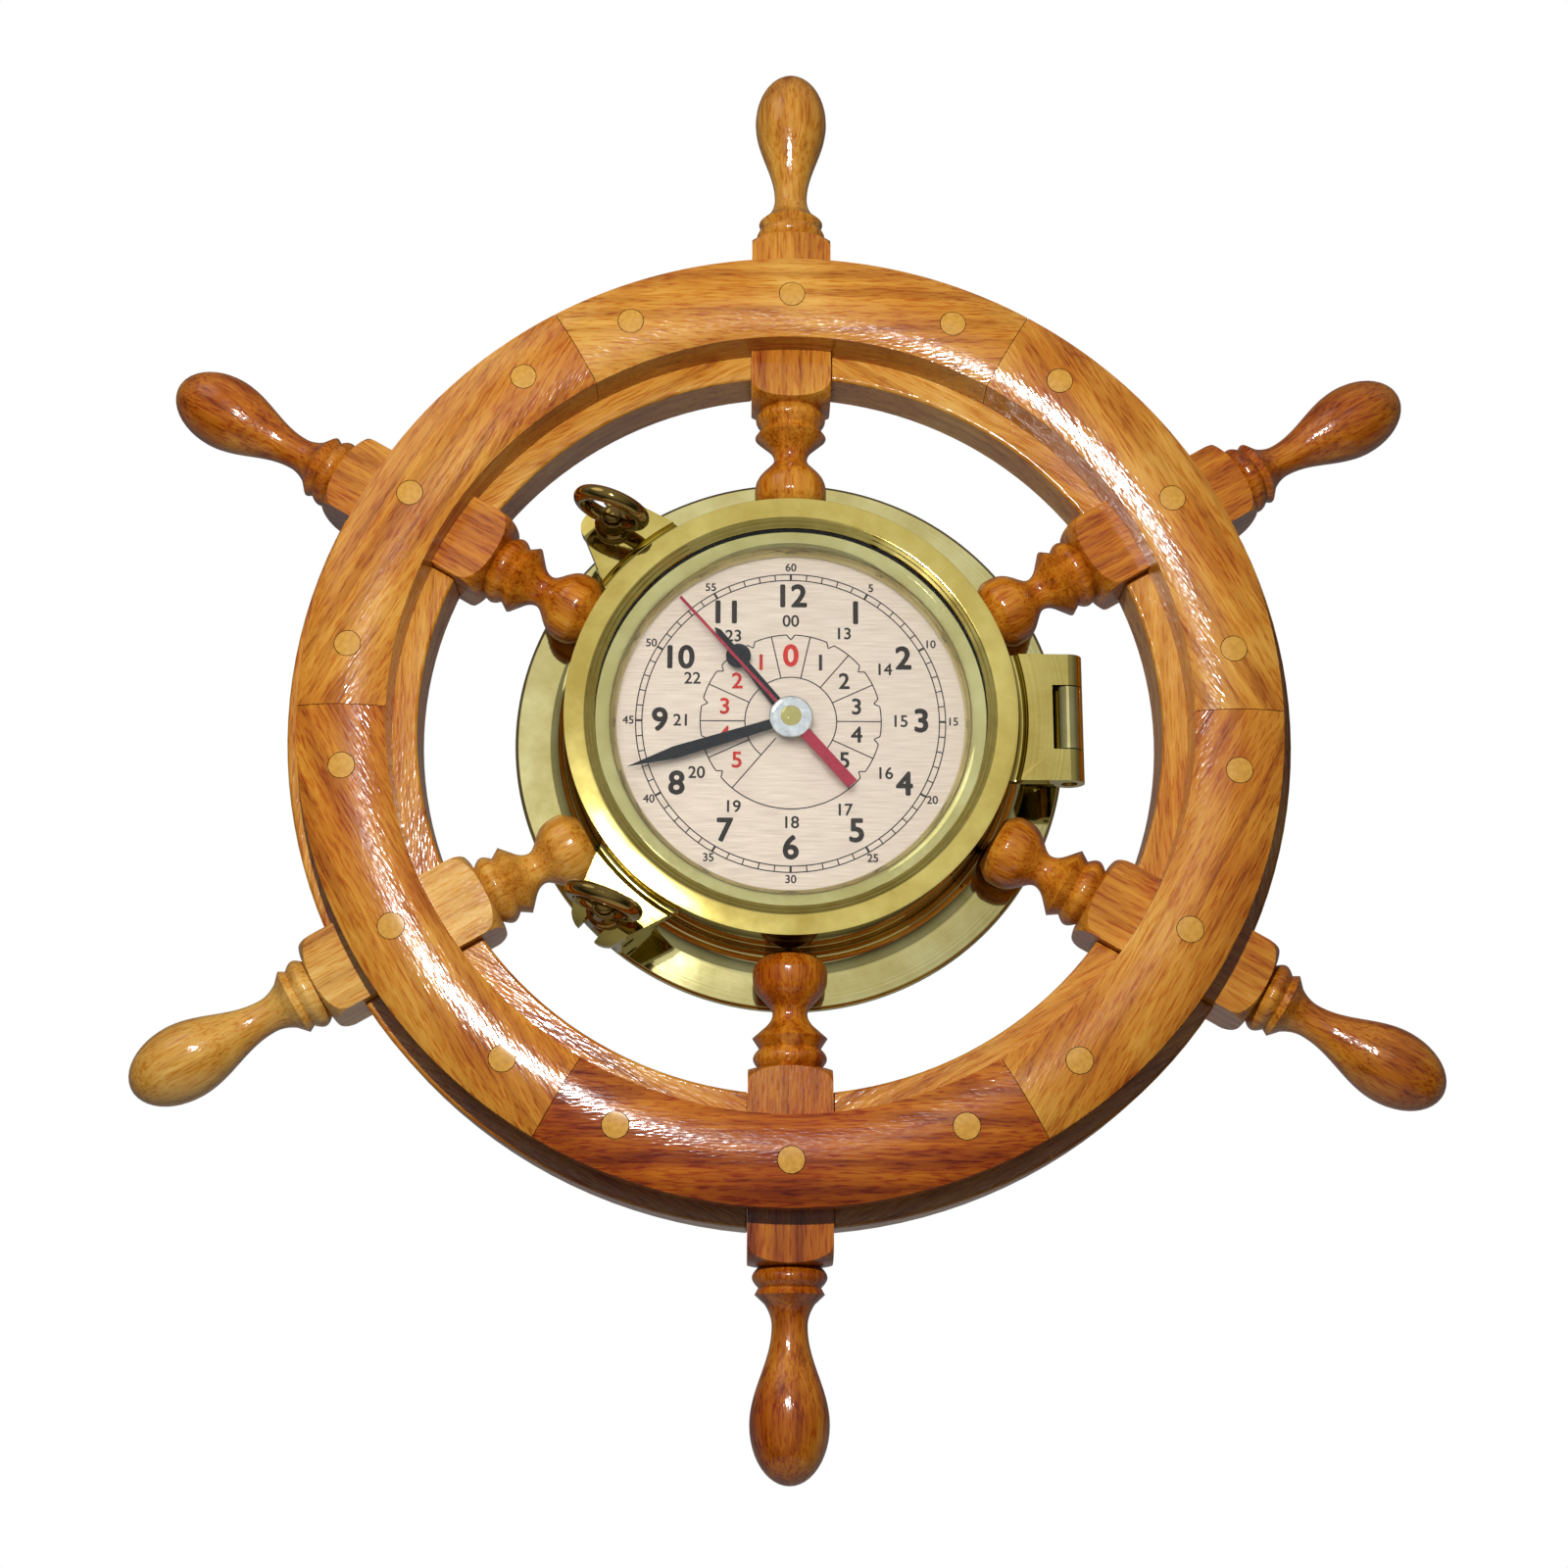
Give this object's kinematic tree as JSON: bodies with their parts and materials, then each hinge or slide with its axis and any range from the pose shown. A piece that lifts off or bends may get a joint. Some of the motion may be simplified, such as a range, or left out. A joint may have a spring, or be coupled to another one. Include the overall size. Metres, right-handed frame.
{
  "type": "ship wheel clock",
  "caption": "Wall clock in a hinged brass porthole at the middle of a varnished wooden ship's wheel with turned spokes, closed by swing bolts with ring nuts.",
  "frame": {"origin": "centre of the porthole flange's rear face, on the wall", "axes": "+X to three o'clock, +Z to twelve o'clock, +Y into the wall, so the dial faces -Y"},
  "size_m": [0.5312, 0.0776, 0.61],
  "materials": {
    "varnished_wood": "high gloss varnish",
    "plug_wood": "varnished end plugs",
    "brass": "satin and polished",
    "glass": "clear",
    "dial_metal": "champagne satin, printed",
    "black_paint": "satin black",
    "red_paint": "satin red",
    "steel": "plain",
    "black_plastic": "matte"
  },
  "bodies": {
    "wheel": {"spoke_1": "varnished_wood", "spoke_2": "varnished_wood", "spoke_3": "varnished_wood", "spoke_4": "varnished_wood", "spoke_5": "varnished_wood", "spoke_6": "varnished_wood", "front_felloe_1": "varnished_wood", "front_felloe_2": "varnished_wood", "front_felloe_3": "varnished_wood", "front_felloe_4": "varnished_wood", "front_felloe_5": "varnished_wood", "front_felloe_6": "varnished_wood", "rim_segment_1": "varnished_wood", "rim_segment_2": "varnished_wood", "rim_segment_3": "varnished_wood", "rim_segment_4": "varnished_wood", "rim_segment_5": "varnished_wood", "rim_segment_6": "varnished_wood", "rim_plug_1_left": "plug_wood", "rim_plug_1_middle": "plug_wood", "rim_plug_1_right": "plug_wood", "rim_plug_2_left": "plug_wood", "rim_plug_2_middle": "plug_wood", "rim_plug_2_right": "plug_wood", "rim_plug_3_left": "plug_wood", "rim_plug_3_middle": "plug_wood", "rim_plug_3_right": "plug_wood", "rim_plug_4_left": "plug_wood", "rim_plug_4_middle": "plug_wood", "rim_plug_4_right": "plug_wood", "rim_plug_5_left": "plug_wood", "rim_plug_5_middle": "plug_wood", "rim_plug_5_right": "plug_wood", "rim_plug_6_left": "plug_wood", "rim_plug_6_middle": "plug_wood", "rim_plug_6_right": "plug_wood", "flange_screw_1": "steel", "flange_screw_2": "steel", "flange_screw_3": "steel", "flange_screw_4": "steel", "flange_screw_5": "steel", "flange_screw_6": "steel", "porthole_body": "brass", "dial": "dial_metal", "dial_ring": "brass", "movement": "black_plastic", "dial_nut": "brass", "hinge_pin": "brass", "upper_dog_pin": "brass", "lower_dog_pin": "brass"},
    "door": {"door_ring": "brass", "glass": "glass", "glass_retainer": "brass"},
    "upper_dog": {"upper_dog_bolt": "brass"},
    "upper_nut": {"upper_ring_nut": "brass"},
    "lower_dog": {"lower_dog_bolt": "brass"},
    "lower_nut": {"lower_ring_nut": "brass"},
    "hour": {"hour_hand": "black_paint"},
    "minute": {"minute_hand": "black_paint"},
    "second": {"second_hand": "red_paint"}
  },
  "joints": [
    {"name": "door_hinge", "type": "hinge", "parent": "wheel", "child": "door", "pos_m": [0.1145, -0.0353, 0], "axis": [0, 0, 1], "range_deg": [0, 110]},
    {"name": "upper_dog_swing", "type": "hinge", "parent": "wheel", "child": "upper_dog", "pos_m": [-0.07427, -0.0136, 0.08249], "axis": [-0.7431, 0, -0.6691], "range_deg": [0, 45]},
    {"name": "upper_nut_turn", "type": "hinge", "parent": "upper_dog", "child": "upper_nut", "pos_m": [-0.07427, -0.0419, 0.08249], "axis": [0, -1, 0], "range_deg": [0, 360]},
    {"name": "lower_dog_swing", "type": "hinge", "parent": "wheel", "child": "lower_dog", "pos_m": [-0.07427, -0.0136, -0.08249], "axis": [0.7431, 0, -0.6691], "range_deg": [0, 45]},
    {"name": "lower_nut_turn", "type": "hinge", "parent": "lower_dog", "child": "lower_nut", "pos_m": [-0.07427, -0.0419, -0.08249], "axis": [0, -1, 0], "range_deg": [0, 360]},
    {"name": "second_hand_turn", "type": "hinge", "parent": "wheel", "child": "second", "pos_m": [0, -0.0321, 0], "axis": [0, 1, 0], "continuous": true},
    {"name": "minute_hand_turn", "type": "hinge", "parent": "wheel", "child": "minute", "pos_m": [0, -0.0321, 0], "axis": [0, 1, 0], "continuous": true},
    {"name": "hour_hand_turn", "type": "hinge", "parent": "wheel", "child": "hour", "pos_m": [0, -0.0321, 0], "axis": [0, 1, 0], "continuous": true}
  ],
  "couplings": [
    {"joint": "minute_hand_turn", "follows": "second_hand_turn", "ratio": 0.016667},
    {"joint": "hour_hand_turn", "follows": "second_hand_turn", "ratio": 0.0013889}
  ]
}
